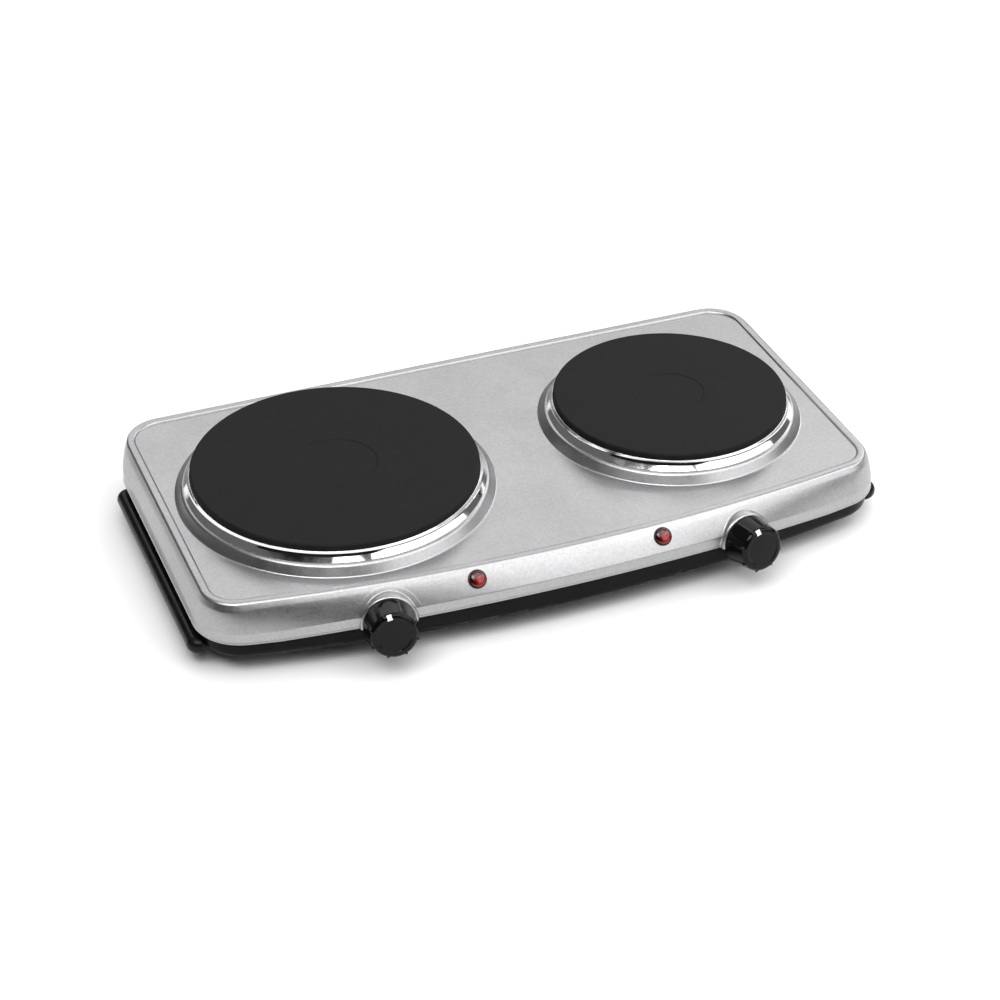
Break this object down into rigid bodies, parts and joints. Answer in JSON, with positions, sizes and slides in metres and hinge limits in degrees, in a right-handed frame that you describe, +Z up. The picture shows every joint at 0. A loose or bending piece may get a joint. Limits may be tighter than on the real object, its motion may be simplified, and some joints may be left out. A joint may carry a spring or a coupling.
{
  "type": "electric hot plate",
  "caption": "Table-top electric cooker with a large and a small cast plate on a sloped steel deck, a black base and turning heat knobs.",
  "frame": {"origin": "on the table, below the middle of the whole object's box", "axes": "+X to the right seen from the knobs, +Y to the back, +Z up; the knobs face -Y"},
  "size_m": [0.472, 0.2718, 0.068],
  "materials": {
    "deck_steel": "satin lacquered stainless steel sheet",
    "ring_steel": "mirror polished stainless steel",
    "cast_iron": "turned grey iron with matte black coating",
    "black_enamel": "black enamel, semi gloss",
    "handle_black": "moulded phenolic, satin",
    "knob_black": "moulded phenolic, glossy",
    "lens_red": "red transparent moulding",
    "lamp_glass": "small neon bulb",
    "foot_rubber": "black rubber",
    "zinc_screw": "zinc plated steel",
    "shaft_steel": "bare turned steel",
    "plated_sheet": "galvanised sheet",
    "shield_aluminium": "bright rolled aluminium",
    "nickel_pin": "nickel plated",
    "coil_wire": "oxidised resistance wire",
    "ceramic_white": "unglazed steatite",
    "block_plastic": "natural nylon",
    "fuse_case": "small lacquered case",
    "lead_silicone": "silicone insulation"
  },
  "bodies": {
    "housing": {"deck": "deck_steel", "base_pan": "black_enamel", "left_handle": "handle_black", "right_handle": "handle_black", "handle_screws": "zinc_screw", "heat_shield": "shield_aluminium", "feet": "foot_rubber", "foot_screws": "zinc_screw", "deck_pillars": "zinc_screw", "base_screws": "zinc_screw", "large_plate": "cast_iron", "small_plate": "cast_iron", "large_overflow_ring": "ring_steel", "small_overflow_ring": "ring_steel", "large_coil": "coil_wire", "small_coil": "coil_wire", "large_insulation": "ceramic_white", "small_insulation": "ceramic_white", "large_cover_plate": "plated_sheet", "small_cover_plate": "plated_sheet", "large_ceramic_block": "ceramic_white", "small_ceramic_block": "ceramic_white", "element_pins": "nickel_pin", "plate_studs": "zinc_screw", "plate_bridges": "plated_sheet", "plate_nuts": "zinc_screw", "left_thermostat": "ceramic_white", "right_thermostat": "ceramic_white", "thermostat_terminals": "nickel_pin", "bushing_nuts": "zinc_screw", "lamp_bezels": "knob_black", "left_lamp_lens": "lens_red", "right_lamp_lens": "lens_red", "lamp_clips": "plated_sheet", "neon_lamps": "lamp_glass", "mains_block": "block_plastic", "block_screws": "zinc_screw", "cable_bush": "foot_rubber", "earth_screw": "zinc_screw", "thermal_fuses": "fuse_case", "inner_leads": "lead_silicone"},
    "left_control": {"left_shaft": "shaft_steel", "left_knob": "knob_black", "left_spring_clip": "shaft_steel"},
    "right_control": {"right_shaft": "shaft_steel", "right_knob": "knob_black", "right_spring_clip": "shaft_steel"}
  },
  "joints": [
    {"name": "left_knob_turn", "type": "hinge", "parent": "housing", "child": "left_control", "pos_m": [-0.12, -0.11568, 0.03], "axis": [0.1536, 0.9695, -0.1908], "range_deg": [0, 280]},
    {"name": "right_knob_turn", "type": "hinge", "parent": "housing", "child": "right_control", "pos_m": [0.12, -0.11568, 0.03], "axis": [-0.1536, 0.9695, -0.1908], "range_deg": [0, 280]}
  ]
}
